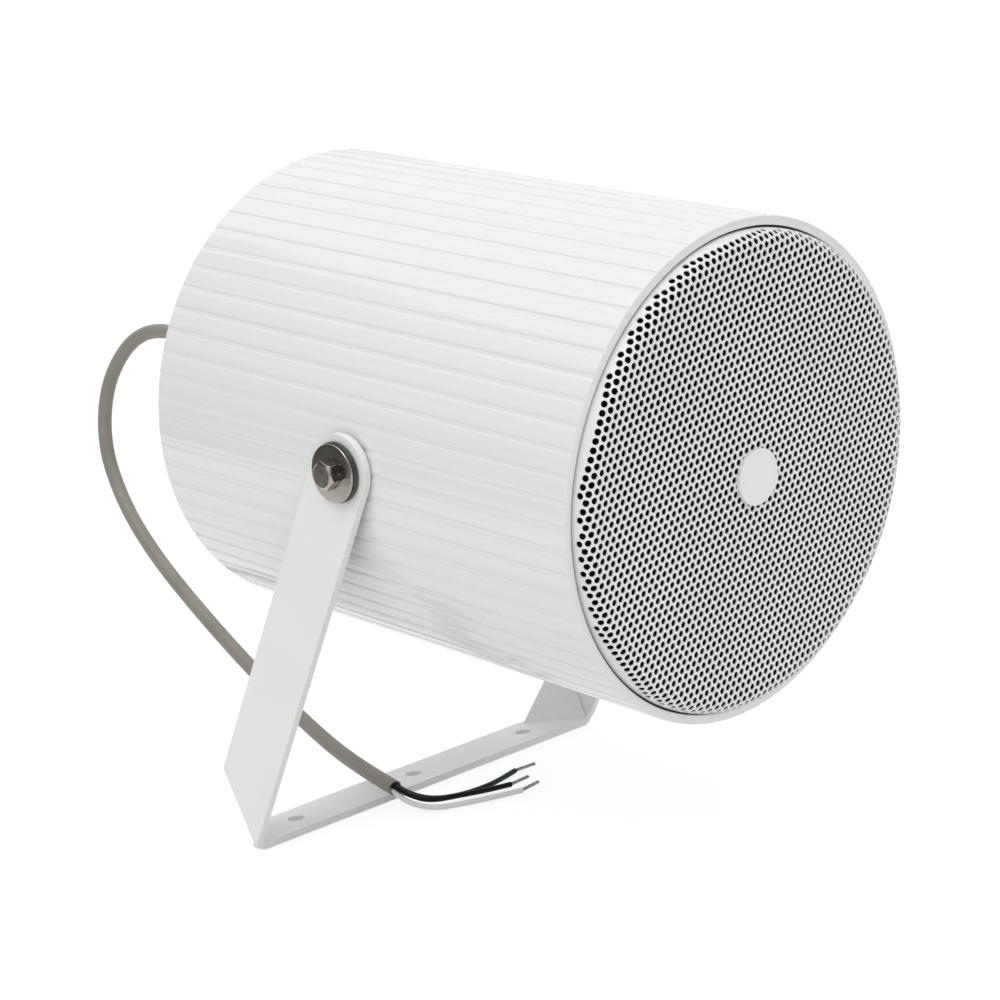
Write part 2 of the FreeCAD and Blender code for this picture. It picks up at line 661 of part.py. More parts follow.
# Bracket
def bracket_section():
    """Strap bent to a U, seen from the front, drawn through the whole depth of the arms."""
    top = PIVOT_HEIGHT + ARM_END_R
    near_y = PIVOT_Y - ARM_END_R
    depth = (near_y, BASE_REAR_Y)
    outside = block(core_span(2 * ARM_OUT_X), depth, (0, top))
    inside = block(core_span(2 * ARM_IN_X), depth, (STRAP_THICKNESS, top))
    lower = [edge for edge in outside.Edges if is_fold(edge, 0)]
    outside = outside.makeFillet(BEND_OUTSIDE_R, lower)
    lower = [edge for edge in inside.Edges if is_fold(edge, STRAP_THICKNESS)]
    return outside.cut(inside.makeFillet(BEND_INSIDE_R, lower))


def is_fold(edge, height):
    """True for a lower edge that runs along Y."""
    ends = [vertex.Point for vertex in edge.Vertexes]
    level = all(abs(end.z - height) < 1e-6 for end in ends)
    return level and abs(ends[0].x - ends[1].x) < 1e-6


def arm_outline():
    """Side of the arms: a leaning strip, round about the pivot, its rear lower corner left to the gusset."""
    lean = math.radians(ARM_LEAN)
    across = vec(0, math.cos(lean), math.sin(lean)) * ARM_END_R
    along = vec(0, -math.sin(lean), math.cos(lean)) * ARM_END_R
    corners = [PIVOT - across, vec(0, BASE_FRONT_Y, ARM_FOOT_HEIGHT), vec(0, BASE_FRONT_Y, 0), vec(0, FOLD_Y, 0),
               vec(0, FOLD_Y, BEND_OUTSIDE_R), vec(0, KNEE_Y, GUSSET_HEIGHT), PIVOT + across]
    edges = [Part.LineSegment(a, b).toShape() for a, b in zip(corners, corners[1:])]
    edges.append(Part.Arc(corners[-1], PIVOT + along, corners[0]).toShape())
    face = Part.Face(Part.Wire(edges))
    face.translate(vec(-ARM_OUT_X, 0, 0))
    return face.extrude(vec(2 * ARM_OUT_X, 0, 0))


def base_outline():
    """Plan of the base strap, its rear corners cut back to the gussets."""
    points = [(-ARM_OUT_X, BASE_FRONT_Y), (ARM_OUT_X, BASE_FRONT_Y), (ARM_OUT_X, FOLD_Y), (HEEL_X, BASE_REAR_Y),
              (-HEEL_X, BASE_REAR_Y), (-ARM_OUT_X, FOLD_Y)]
    return outline_face([vec(x, y, 0) for x, y in points]).extrude(vec(0, 0, STRAP_THICKNESS))


def gusset():
    """Slanted triangle of sheet that joins the right arm's lower rear corner to the base."""
    bend_middle = BEND_OUTSIDE_R * (1 - math.sqrt(0.5))
    toe = vec(ARM_OUT_X - bend_middle, FOLD_Y, bend_middle)
    heel = vec(HEEL_X, BASE_REAR_Y, 0)
    knee = vec(ARM_OUT_X, KNEE_Y, GUSSET_HEIGHT)
    inward = (knee - toe).cross(heel - toe).normalize()
    return outline_face([toe, heel, knee]).extrude(inward * STRAP_THICKNESS)


def u_bracket():
    section = bracket_section()
    arms = section.common(arm_outline())
    middle = block(core_span(2 * (ARM_OUT_X - BEND_OUTSIDE_R)), core_span(BASE_WIDTH), (0, STRAP_THICKNESS))
    base = base_outline().common(middle.fuse(section).removeSplitter())
    right = gusset()
    bracket = arms.fuse([base, right, right.mirror(ORIGIN, X_AXIS)]).removeSplitter()
    for k in (-1, 0, 1):
        bracket = bracket.cut(rod(BASE_HOLE_D / 2, 0, STRAP_THICKNESS, k * BASE_HOLE_PITCH))
    bolt_hole = sideways(rod(ARM_HOLE_R, -ARM_OUT_X, ARM_OUT_X), 1)
    bolt_hole.translate(PIVOT)
    return bracket.cut(bolt_hole)


# Cable
def route_wire(route):
    """Straight runs joined by tangent arcs as large as the runs allow; returns the wire and the arc radii."""
    corners = [vec(*point) for point in route]
    here = corners[0]
    edges = []
    radii = []
    for before, corner, after in zip(corners, corners[1:], corners[2:]):
        back = (before - corner).normalize()
        ahead = (after - corner).normalize()
        turn = math.pi - back.getAngle(ahead)
        reach = ROUTE_ARC_SHARE * min(before.distanceToPoint(corner), after.distanceToPoint(corner))
        start = corner + back * reach
        end = corner + ahead * reach
        radius = reach / math.tan(turn / 2)
        inward = (back + ahead).normalize()
        middle = corner + inward * (radius / math.cos(turn / 2) - radius)
        edges.append(Part.LineSegment(here, start).toShape())
        edges.append(Part.Arc(start, middle, end).toShape())
        radii.append(radius)
        here = end
    edges.append(Part.LineSegment(here, corners[-1]).toShape())
    return Part.Wire(edges), radii


def cord_tube(name, route, diameter):
    wire, radii = route_wire(route)
    direction = vec(*route[1]) - vec(*route[0])
    section = Part.Wire(Part.makeCircle(diameter / 2, vec(*route[0]), direction))
    tube = wire.makePipeShell([section], True, True)
    share = tube.Volume / (math.pi * diameter ** 2 / 4 * wire.Length)
    print(name, "length", round(wire.Length, 1), "radii", [round(r) for r in radii])
    print(name, "volume share", round(share, 4))
    return tube


def bare_wire_ends():
    """Tinned strands that go on straight from each core's insulation."""
    ends = []
    for route in CORE_ROUTES.values():
        tip = vec(*route[-1])
        direction = tip - vec(*route[-2])
        ends.append(Part.makeCylinder(BARE_D / 2, BARE_LENGTH, tip, direction))
    return Part.makeCompound(ends)


def speaker_nodes():
    nodes = {maker.__name__: maker() for maker in (
        housing_tube, grille, grille_badge, grille_cloth, baffle_ring, driver_frame, driver_cone,
        driver_surround, dust_cap, spider, voice_coil, top_plate, magnet_ring, yoke, driver_screws,
        rear_gasket, rear_cover, rear_screws, gland_body, gland_nut, gland_seal, gland_cap,
        transformer_core, transformer_coil, transformer_strap, transformer_screws)}
    for name, piece in pivot_pieces().items():
        nodes[name + "_right"] = sideways(piece, 1)
        nodes[name + "_left"] = sideways(piece, -1)
    return {name: in_bracket(shape) for name, shape in nodes.items()}


def all_nodes():
    nodes = speaker_nodes()
    nodes["u_bracket"] = u_bracket()
    nodes["cable_jacket"] = cord_tube("cable_jacket", CABLE_ROUTE, CABLE_D)
    for name, route in CORE_ROUTES.items():
        nodes[name] = cord_tube(name, route, CORE_D)
    nodes["bare_wire_ends"] = bare_wire_ends()
    return nodes


os.makedirs("parts", exist_ok=True)
for node, shape in all_nodes().items():
    shape.exportStep("parts/" + node + ".step")
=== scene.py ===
import json
import math

import bpy
from mathutils import Matrix, Vector
from mathutils.geometry import delaunay_2d_cdt


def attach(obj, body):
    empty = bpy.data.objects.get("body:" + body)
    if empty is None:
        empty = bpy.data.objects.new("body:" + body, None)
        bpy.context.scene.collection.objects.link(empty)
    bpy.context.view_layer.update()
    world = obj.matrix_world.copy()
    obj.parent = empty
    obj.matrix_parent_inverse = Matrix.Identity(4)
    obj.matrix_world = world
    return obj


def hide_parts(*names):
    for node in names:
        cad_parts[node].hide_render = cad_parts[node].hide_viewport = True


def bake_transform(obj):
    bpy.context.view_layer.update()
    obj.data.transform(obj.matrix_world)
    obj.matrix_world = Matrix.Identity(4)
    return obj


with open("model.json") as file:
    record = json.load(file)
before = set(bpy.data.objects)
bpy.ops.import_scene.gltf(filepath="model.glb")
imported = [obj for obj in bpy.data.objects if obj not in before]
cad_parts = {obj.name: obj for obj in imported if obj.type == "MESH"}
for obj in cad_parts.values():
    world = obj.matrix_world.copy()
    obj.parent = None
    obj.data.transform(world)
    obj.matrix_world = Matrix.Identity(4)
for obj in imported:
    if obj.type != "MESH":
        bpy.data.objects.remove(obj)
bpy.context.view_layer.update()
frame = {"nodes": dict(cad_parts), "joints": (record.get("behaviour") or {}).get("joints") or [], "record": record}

# Projection speaker on a slanted U-bracket, in metres, in the frame of its fixing base.

# Camera, seen from the pivot between the arms
CAMERA_FROM_PIVOT = Vector((-0.737705, -0.760574, 0.165222))
CAMERA_FORWARD = Vector((0.67580, 0.71454, -0.18093))
CAMERA_RIGHT = Vector((0.70603, -0.69802, -0.11954))
CAMERA_LENS = 100.23
CAMERA_SENSOR = 36.0
CAMERA_CLIP = 0.01

# Grille perforation, on a pressed dish
HOLE_PITCH = 0.00325
HOLE_R = 0.00124
HOLE_SIDES = 12
ROW_ANGLE = math.radians(9.2)
GRILLE_SHEET = 0.0005
GRILLE_EDGE_R = 0.0055
GRILLE_RIM_STEPS = 240
HOLE_END_GAP = 0.0016
GRILLE_RISE = 0.0008
BADGE_COVER = 0.0025
FLAT_TOLERANCE = 1e-9

# Tube paint: flat facets with a soft groove at each corner, laid over the solid tube
RIB_COUNT = 66
GROOVE_HALF = 0.0012
GROOVE_DEPTH = 0.00085
GROOVE_STEPS = 8
FACET_STEPS = 4
PAINT_T = 0.0004
PAINT_INSIDE = 0.0012
PAINT_END = 0.00006
LIP_WALL = 0.0031
LIP_ROUND = 0.0005
LIP_STEPS = 4
LIP_RETURN = 0.003

# Pivot bolts: hexagon heads with a chamfered face
BOLT_AF = 0.010
BOLT_FACE_R = 0.0043
BOLT_CHAMFER = math.radians(35)
BOLT_HEAD = 0.0040
BOLT_SEAT = 0.0004
BOLT_SEAT_R = 0.0048
BOLT_SHANK_R = 0.0030
BOLT_POINT = 0.0006
BOLT_TURN = math.radians(16.4)
BOLT_SIDES = 72
BOLT_EDGE = 0.00014
BOLT_EDGE_STEPS = 2
BOLT_EDGE_LIMIT = math.radians(25)

# Washers under the bolt heads: a domed steel one on a rubber one with two beads
WASHER_ROUND = 0.0005
WASHER_DOME = 0.0005
WASHER_STEPS = 6
BEAD_DEPTH = 0.0004
BEAD_STEPS = 16

# Badge: raised rim round a bare face with a slight crown
BADGE_R = 0.0105
BADGE_HEIGHT = 0.0018
BADGE_RIM = 0.0010
BADGE_ROUND = 0.0004
BADGE_RECESS = 0.0005
BADGE_CROWN_R = (BADGE_R - BADGE_RIM) / 2
BADGE_CROWN = BADGE_RECESS / 3

# Steps round a spun piece, and the angle from which an edge is sharp
SPIN_STEPS = 96
SHARP_EDGE = math.radians(35)

# Painted shade ring: black ring in the gap between grille and lip, painted shade that stands in for the shadow in
# that gap
SHADE_RING_BELOW = 0.0012
SHADE_RING_DEPTH = 0.0020
SHADE_RING_OVERLAP = 0.0002

# Spider: corrugated cloth disc behind the cone, sagging at the coil so that the cone clears it
SPIDER_WAVES = 4
SPIDER_LEDGE = 0.0065
SPIDER_SHEET = 0.0006
SPIDER_GAP = 0.0003
SPIDER_SAG = 0.0028
SPIDER_SAG_WIDTH = 0.014
SPIDER_STEPS = 48

# Cable as in the solids, with its three cores laid as in the photograph
CABLE_D = 0.0063
CABLE_ROUTE = [
    (0, 0.0247, 0.173645), (0, 0.0646, 0.179679), (0.0008, 0.1049, 0.1868), (0, 0.1422, 0.1922),
    (-0.0018, 0.1703, 0.1711), (-0.0039, 0.1796, 0.1407), (-0.0078, 0.1659, 0.1134),
    (-0.0124, 0.1409, 0.0906), (-0.0170, 0.1058, 0.0672), (-0.0201, 0.0700, 0.0445),
    (-0.0224, 0.0373, 0.0260), (-0.0246, 0.0083, 0.0132), (-0.0284, -0.0202, 0.0076),
]
CORE_D = 0.0022
CORE_ROUTES = {
    "green": [
        (-0.0271, -0.0204, 0.0078), (-0.0266, -0.0280, 0.0052), (-0.0228, -0.0356, 0.0032),
        (-0.0129, -0.0398, 0.0021), (-0.0009, -0.0410, 0.0017), (0.0114, -0.0396, 0.0015),
        (0.0248, -0.0353, 0.0013),
    ],
    "black": [
        (-0.0291, -0.0205, 0.0087), (-0.0290, -0.0288, 0.0058), (-0.0262, -0.0382, 0.0037),
        (-0.0138, -0.0434, 0.0032), (-0.0013, -0.0468, 0.0022), (0.0100, -0.0478, 0.0013),
    ],
    "white": [
        (-0.0291, -0.0200, 0.0065), (-0.0312, -0.0302, 0.0033), (-0.0279, -0.0422, 0.0016),
        (-0.0172, -0.0480, 0.0013), (-0.0046, -0.0542, 0.0013), (0.0062, -0.0582, 0.0013),
    ],
}
ROUTE_STEPS = 12
CABLE_SIDES = 28
CORE_SIDES = 18
JACKET_WALL = 0.0006
JACKET_RECESS = 0.0012
BARE_LENGTH = 0.010
BARE_AIM = {
    "green": Vector((0.976, -0.211, 0.052)),
    "black": Vector((0.998, -0.033, 0.049)),
    "white": Vector((0.997, 0.060, 0.046)),
}
STRAND_R = 0.00026
STRAND_RING_R = 0.00048
STRAND_COUNT = 6
STRAND_TURNS = 3.0
STRAND_STEPS = 48
STRAND_SIDES = 8

# Textures: the part of a noise that is used, bands of a wave, and scales of the speaker's axes
NOISE_LOW = 0.3
NOISE_HIGH = 0.7
GLOSS_PATCH = 4
WAVE_PERIOD = 0.314
UNSTRETCHED = (1, 1, 1)
ALONG_TUBE = (0.02, 0.02, 2.0)
RULED_WOBBLE = 0.6
RULED_WOBBLE_SCALE = 3.0
RULED_PATCH = 300.0
CLOTH_PITCH = 0.0006
CLOTH_DEPTH = 0.0002
CLOTH_ROUGH = 0.9
CLOTH_SHINE = 0.1

# Stage: a pale floor, a white world and soft lights that face the pivot
FLOOR_SIZE = 12.0
FLOOR_Z = -0.0004
FLOOR_COLOUR = (0.83, 0.83, 0.83)
FLOOR_SHOWN = 0.30
FLOOR_GLOW = 0.80
WORLD_LIGHT = 0.74
SEEN_RAYS = ("Is Camera Ray", "Is Glossy Ray", "Is Transmission Ray")
LIGHTS = {
    "overhead": {"place": (0.0, -0.2, 2.0), "size": 1.6, "power": 6.0},
    "left": {"place": (-1.4, -0.5, 1.9), "size": 0.9, "power": 9.0},
    "front": {"place": (0.5, -2.0, 1.2), "size": 1.2, "power": 3.6},
}

# Boards that only show in reflections, so that bare steel has something dark to mirror
CARDS = {
    "card_right": {"place": (0.45, -0.65, 0.28), "size": 1.1, "shade": 0.02},
    "card_left": {"place": (-0.50, 0.36, 0.36), "size": 0.9, "shade": 0.16},
    "card_camera": {"place": (-1.15, -1.25, 0.35), "size": 1.6, "shade": 0.02},
}


# Speaker's own frame: x along the pivot, y up, z to the front
def joint_named(name):
    return next(joint for joint in frame["joints"] if joint["name"] == name)


def speaker_matrix():
    front = Vector(joint_named("cone_travel")["axis"]).normalized()
    side = Vector(joint_named("tilt")["axis"]).normalized()
    matrix = Matrix((side, front.cross(side), front)).transposed().to_4x4()
    matrix.translation = Vector(joint_named("tilt")["pos_m"])
    return matrix


SPEAKER = speaker_matrix()
PIVOT = SPEAKER.translation


def speaker_span(node):
    """Lowest and highest corner of a node in the speaker's own frame."""
    inverse = SPEAKER.inverted()
    points = [inverse @ vertex.co for vertex in frame["nodes"][node].data.vertices]
    low = Vector([min(point[k] for point in points) for k in range(3)])
    high = Vector([max(point[k] for point in points) for k in range(3)])
    return low, high


# Finishes
def new_finish(name):
    """Material with an empty principled shader; returns it with its tree and shader."""
    finish = bpy.data.materials.new(name)
    finish.use_nodes = True
    return finish, finish.node_tree, finish.node_tree.nodes["Principled BSDF"]


def object_place(tree, stretch=None):
    """Texture coordinates in metres in the object's frame, or squeezed along the speaker's axes."""
    place = tree.nodes.new("ShaderNodeTexCoord").outputs["Object"]
    if stretch is None:
        return place
    mapping = tree.nodes.new("ShaderNodeMapping")
    mapping.vector_type = "TEXTURE"
    mapping.inputs["Location"].default_value = PIVOT
    mapping.inputs["Rotation"].default_value = SPEAKER.to_euler()
    mapping.inputs["Scale"].default_value = stretch
    tree.links.new(place, mapping.inputs["Vector"])
    return mapping.outputs["Vector"]


def noise(tree, place, scale, detail=3.0):
    node = tree.nodes.new("ShaderNodeTexNoise")
    node.inputs["Scale"].default_value = scale
    node.inputs["Detail"].default_value = detail
    tree.links.new(place, node.inputs["Vector"])
    return node.outputs["Fac"]


def spread(tree, value, low, high):
    """Stretches the middle of a noise to a range."""
    node = tree.nodes.new("ShaderNodeMapRange")
    node.inputs["From Min"].default_value = NOISE_LOW
    node.inputs["From Max"].default_value = NOISE_HIGH
    node.inputs["To Min"].default_value = low
    node.inputs["To Max"].default_value = high
    tree.links.new(value, node.inputs["Value"])
    return node.outputs["Result"]


def two_colours(tree, value, first, second):
    node = tree.nodes.new("ShaderNodeMix")
    node.data_type = "RGBA"
    node.inputs["A"].default_value = (*first, 1)
    node.inputs["B"].default_value = (*second, 1)
    tree.links.new(value, node.inputs["Factor"])
    return node.outputs["Result"]


def bump(tree, shader, height, distance):
    node = tree.nodes.new("ShaderNodeBump")
    node.inputs["Distance"].default_value = distance
    tree.links.new(height, node.inputs["Height"])
    tree.links.new(node.outputs["Normal"], shader.inputs["Normal"])


def grainy(name, first, second, rough, patch=25.0, grain=900.0, depth=0.00002, metallic=0.0,
           specular=0.5, stretch=None):
    """Finish whose colour and gloss drift from place to place, with a fine grain."""
    finish, tree, shader = new_finish(name)
    place = object_place(tree, stretch)
    drift = spread(tree, noise(tree, place, patch), 0.0, 1.0)
    tree.links.new(two_colours(tree, drift, first, second), shader.inputs["Base Color"])
    tree.links.new(spread(tree, noise(tree, place, patch * GLOSS_PATCH), *rough), shader.inputs["Roughness"])
    shader.inputs["Metallic"].default_value = metallic
    shader.inputs["Specular IOR Level"].default_value = specular
    bump(tree, shader, noise(tree, place, grain), depth)
    return finish


def stripes(tree, place, direction, pitch):
    """Wave texture with parallel bands a pitch apart."""
    node = tree.nodes.new("ShaderNodeTexWave")
    node.bands_direction = direction
    node.inputs["Scale"].default_value = WAVE_PERIOD / pitch
    tree.links.new(place, node.inputs["Vector"])
    return node


def ruled(name, first, second, rough, direction, pitch, depth):
    """Metal with fine parallel lines, such as a winding or stacked sheets."""
    finish, tree, shader = new_finish(name)
    place = object_place(tree, UNSTRETCHED)
    lines = stripes(tree, place, direction, pitch)
    lines.inputs["Distortion"].default_value = RULED_WOBBLE
    lines.inputs["Detail Scale"].default_value = RULED_WOBBLE_SCALE
    tree.links.new(two_colours(tree, lines.outputs["Fac"], first, second), shader.inputs["Base Color"])
    tree.links.new(spread(tree, noise(tree, place, RULED_PATCH), *rough), shader.inputs["Roughness"])
    shader.inputs["Metallic"].default_value = 1.0
    bump(tree, shader, lines.outputs["Fac"], depth)
    return finish


def woven(name, first, second):
    """Open cloth: two sets of threads that cross."""
    finish, tree, shader = new_finish(name)
    place = object_place(tree, UNSTRETCHED)
    cross = tree.nodes.new("ShaderNodeMath")
    cross.operation = "MULTIPLY"
    for k, direction in enumerate(("X", "Y")):
        threads = stripes(tree, place, direction, CLOTH_PITCH)
        tree.links.new(threads.outputs["Fac"], cross.inputs[k])
    tree.links.new(two_colours(tree, cross.outputs[0], first, second), shader.inputs["Base Color"])
    shader.inputs["Roughness"].default_value = CLOTH_ROUGH
    shader.inputs["Specular IOR Level"].default_value = CLOTH_SHINE
    bump(tree, shader, cross.outputs[0], CLOTH_DEPTH)
    return finish


def make_finishes():
    """One finish for each material slot of the record."""
    return {
        "tube_paint": grainy("tube_paint", (0.79, 0.80, 0.80), (0.83, 0.835, 0.835), (0.08, 0.14),
                             patch=9.0, grain=16.0, depth=0.00003, stretch=ALONG_TUBE),
        "cover_paint": grainy("cover_paint", (0.82, 0.82, 0.81), (0.86, 0.86, 0.85), (0.38, 0.48)),
        "bracket_coat": grainy("bracket_coat", (0.83, 0.84, 0.825), (0.87, 0.875, 0.86), (0.36, 0.46),
                               grain=1400.0, depth=0.00004),
        "grille_coat": grainy("grille_coat", (0.81, 0.815, 0.805), (0.86, 0.86, 0.85), (0.35, 0.45),
                              grain=1400.0),
        "badge_plastic": grainy("badge_plastic", (0.84, 0.845, 0.835), (0.87, 0.87, 0.86), (0.28, 0.36)),
        "stainless": grainy("stainless", (0.36, 0.335, 0.30), (0.44, 0.41, 0.37), (0.16, 0.26),
                            patch=150.0, grain=700.0, depth=0.00003, metallic=1.0),
        "plated_steel": grainy("plated_steel", (0.55, 0.55, 0.56), (0.66, 0.66, 0.67), (0.25, 0.40),
                               patch=80.0, metallic=1.0),
        "black_rubber": grainy("black_rubber", (0.045, 0.052, 0.046), (0.068, 0.076, 0.068), (0.35, 0.50)),
        "black_plastic": grainy("black_plastic", (0.012, 0.012, 0.013), (0.020, 0.020, 0.021), (0.5, 0.7)),
        "gland_plastic": grainy("gland_plastic", (0.55, 0.55, 0.53), (0.62, 0.62, 0.60), (0.40, 0.55)),
        "frame_paint": grainy("frame_paint", (0.012, 0.012, 0.013), (0.022, 0.022, 0.023), (0.35, 0.5)),
        "cone_paper": grainy("cone_paper", (0.016, 0.016, 0.017), (0.032, 0.032, 0.033), (0.75, 0.95),
                             patch=200.0, grain=1500.0, depth=0.0001),
        "cloth": woven("cloth", (0.004, 0.004, 0.004), (0.014, 0.014, 0.014)),
        "ferrite": grainy("ferrite", (0.03, 0.03, 0.032), (0.06, 0.06, 0.063), (0.6, 0.8), patch=90.0),
        "copper": ruled("copper", (0.30, 0.10, 0.045), (0.62, 0.27, 0.14), (0.25, 0.4),
                        direction="Y", pitch=0.0006, depth=0.0001),
        "lamination": ruled("lamination", (0.10, 0.10, 0.105), (0.26, 0.26, 0.27), (0.3, 0.5),
                            direction="Z", pitch=0.0005, depth=0.00005),
        "cable_grey": grainy("cable_grey", (0.245, 0.230, 0.198), (0.285, 0.268, 0.233), (0.42, 0.55),
                             patch=60.0, grain=2600.0, depth=0.00004),
        "core_green": grainy("core_green", (0.003, 0.020, 0.012), (0.007, 0.032, 0.020), (0.4, 0.55),
                             specular=0.2),
        "core_black": grainy("core_black", (0.003, 0.003, 0.003), (0.007, 0.007, 0.007), (0.4, 0.55),
                             specular=0.2),
        "core_white": grainy("core_white", (0.80, 0.80, 0.80), (0.86, 0.86, 0.85), (0.3, 0.45)),
        "tinned": grainy("tinned", (0.30, 0.28, 0.25), (0.46, 0.44, 0.40), (0.22, 0.36),
                         patch=400.0, metallic=1.0),
    }


FINISHES = make_finishes()


def dress_nodes():
    """Gives each solid the finish of its slot."""
    for row in frame["record"]["subparts"]:
        for slot in frame["nodes"][row["node"]].material_slots:
            slot.material = FINISHES[row["material_slot"]]


# Pieces
def new_piece(name, vertices, faces, slot):
    """Mesh piece in the object's frame, smooth except along sharp edges."""
    mesh = bpy.data.meshes.new(name)
    mesh.from_pydata(vertices, [], faces)
    mesh.shade_smooth()
    mesh.set_sharp_from_angle(angle=SHARP_EDGE)
    mesh.materials.append(FINISHES[slot])
    piece = bpy.data.objects.new(name, mesh)
    bpy.context.scene.collection.objects.link(piece)
    return piece


def on_speaker(name, vertices, faces, slot, node=None):
    """Piece given in the speaker's own frame; it may take the place of a solid."""
    piece = new_piece(name, vertices, faces, slot)
    piece.data.transform(SPEAKER)
    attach(piece, "speaker")
    if node:
        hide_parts(node)
    return piece


def polar(angle, radius, z):
    """Point at an angle round the speaker's axis."""
    return Vector((math.cos(angle) * radius, math.sin(angle) * radius, z))


def spun(profile, steps):
    """Rings of a profile of radius and height, spun about the speaker's axis."""
    angles = [2 * math.pi * k / steps for k in range(steps)]
    return [[polar(angle, radius, z) for angle in angles] for radius, z in profile]


def bands(rings, loop):
    """Points of rings of equal count, and the faces from each ring to the next."""
    sides = len(rings[0])
    vertices = [point for ring in rings for point in ring]
    faces = []
    for row in range(len(rings) if loop else len(rings) - 1):
        here = row * sides
        there = (row + 1) % len(rings) * sides
        for k in range(sides):
            after = (k + 1) % sides
            faces.append([here + k, here + after, there + after, there + k])
    return vertices, faces


def hoop(rings):
    """Ring-shaped skin: its last ring is joined to its first."""
    return bands(rings, loop=True)


def skin(rings):
    """Skin through rings, closed by a flat face at each end."""
    vertices, faces = bands(rings, loop=False)
    sides = len(rings[0])
    first = list(reversed(range(sides)))
    last = list(range(len(vertices) - sides, len(vertices)))
    return vertices, [first, *faces, last]


# Grille
class Dish:
    """Pressed dish: a flat front, a quarter round and a straight skirt."""

    def __init__(self):
        low, high = speaker_span("grille")
        self.radius = high.x
        self.front_z = high.z + GRILLE_RISE
        self.skirt_z = low.z
        self.flat_r = self.radius - GRILLE_EDGE_R
        self.bend_z = self.front_z - GRILLE_EDGE_R
        self.blank_r = self.flat_r + GRILLE_EDGE_R * math.pi / 2

    def place(self, point, depth):
        """Where a point of the flat blank lies on the dish, depth below the outer face."""
        bend = GRILLE_EDGE_R - depth
        turn = max(point.length - self.flat_r, 0.0) / GRILLE_EDGE_R
        out = min(point.length, self.flat_r) + bend * math.sin(turn)
        across = point.normalized() * out
        return Vector((across.x, across.y, self.bend_z + bend * math.cos(turn)))

    def rim(self, k, depth):
        """Point of the skirt's lower edge."""
        return polar(2 * math.pi * k / GRILLE_RIM_STEPS, self.radius - depth, self.skirt_z)


def hole_centres(dish):
    """Triangular lattice of holes over the dish, apart from those hidden under the badge."""
    inner = speaker_span("grille_badge")[1].x - BADGE_COVER
    outer = dish.blank_r - HOLE_END_GAP
    steps = int(2 * outer / HOLE_PITCH)
    turn = Matrix.Rotation(ROW_ANGLE, 2)
    centres = []
    for row in range(-steps, steps + 1):
        for column in range(-steps, steps + 1):
            centre = Vector((column + row / 2, row * math.sqrt(3) / 2)) * HOLE_PITCH
            if inner < centre.length < outer:
                centres.append(turn @ centre)
    return centres


def circle_points(centre, radius, count):
    angles = [2 * math.pi * k / count for k in range(count)]
    return [centre + Vector((math.cos(a), math.sin(a))) * radius for a in angles]


def perforated_blank(dish):
    """Flat points, their loops (the rim first, then the holes) and the triangles between the loops."""
    loops = [circle_points(Vector((0, 0)), dish.blank_r, GRILLE_RIM_STEPS)]
    loops += [circle_points(centre, HOLE_R, HOLE_SIDES) for centre in hole_centres(dish)]
    points, edges, owner, order = [], [], [], []
    for number, loop in enumerate(loops):
        first = len(points)
        order.append(range(first, first + len(loop)))
        edges += [(first + k, first + (k + 1) % len(loop)) for k in range(len(loop))]
        owner += [number] * len(loop)
        points += loop
    _, _, found_faces, sources, _, _ = delaunay_2d_cdt(points, edges, [], 0, FLAT_TOLERANCE)
    triangles = []
    for face in found_faces:
        corners = [sources[k][0] for k in face]
        owners = {owner[k] for k in corners}
        if len(owners) > 1 or owners == {0}:
            triangles.append(corners)
    return points, order, triangles


def skirt_faces(count, skirt):
    """Faces of the skirt, from the rim of the blank's two sides down to the lower edge."""
    faces = []
    for k in range(GRILLE_RIM_STEPS):
        after = (k + 1) % GRILLE_RIM_STEPS
        outer, outer_after = skirt + k, skirt + after
        inner, inner_after = outer + GRILLE_RIM_STEPS, outer_after + GRILLE_RIM_STEPS
        faces.append([k, outer, outer_after, after])
        faces.append([k + count, after + count, inner_after, inner])
        faces.append([outer, inner, inner_after, outer_after])
    return faces


def full_grille():
    """The whole perforated dish, with the thickness of its sheet."""
    dish = Dish()
    points, loops, triangles = perforated_blank(dish)
    count = len(points)
    sheet = (0.0, GRILLE_SHEET)
    vertices = [dish.place(point, depth) for depth in sheet for point in points]
    faces = list(triangles)
    faces += [[k + count for k in reversed(corners)] for corners in triangles]
    for loop in loops[1:]:
        for a, b in zip(loop, [*loop[1:], loop[0]]):
            faces.append([a, b, b + count, a + count])
    faces += skirt_faces(count, len(vertices))
    vertices += [dish.rim(k, depth) for depth in sheet for k in range(GRILLE_RIM_STEPS)]
    on_speaker("grille_full", vertices, faces, "grille_coat", "grille")


def painted_shade_ring():
    """Black ring in the gap between the grille and the lip: painted shade for the shadow deep in the gap."""
    high = speaker_span("housing_tube")[1]
    outer = high.x - LIP_WALL + SHADE_RING_OVERLAP
    inner = Dish().radius - SHADE_RING_OVERLAP
    top = high.z - SHADE_RING_BELOW
    base = top - SHADE_RING_DEPTH
    profile = [(inner, base), (outer, base), (outer, top), (inner, top)]
    on_speaker("painted_shade_ring", *hoop(spun(profile, GRILLE_RIM_STEPS)), "black_plastic")


def badge():
    """Round badge with a rim; its face is left bare."""
    base = speaker_span("grille_badge")[0].z + GRILLE_RISE
    top = base + BADGE_HEIGHT
    inner = BADGE_R - BADGE_RIM
    floor = top - BADGE_RECESS
    profile = [
        (BADGE_R, base),
        (BADGE_R, top - BADGE_ROUND),
        (BADGE_R - BADGE_ROUND, top),
        (inner, top),
        (inner - BADGE_RECESS, floor),
        (BADGE_CROWN_R, floor + BADGE_CROWN),
    ]
    on_speaker("badge", *skin(spun(profile, SPIN_STEPS)), "badge_plastic", "grille_badge")


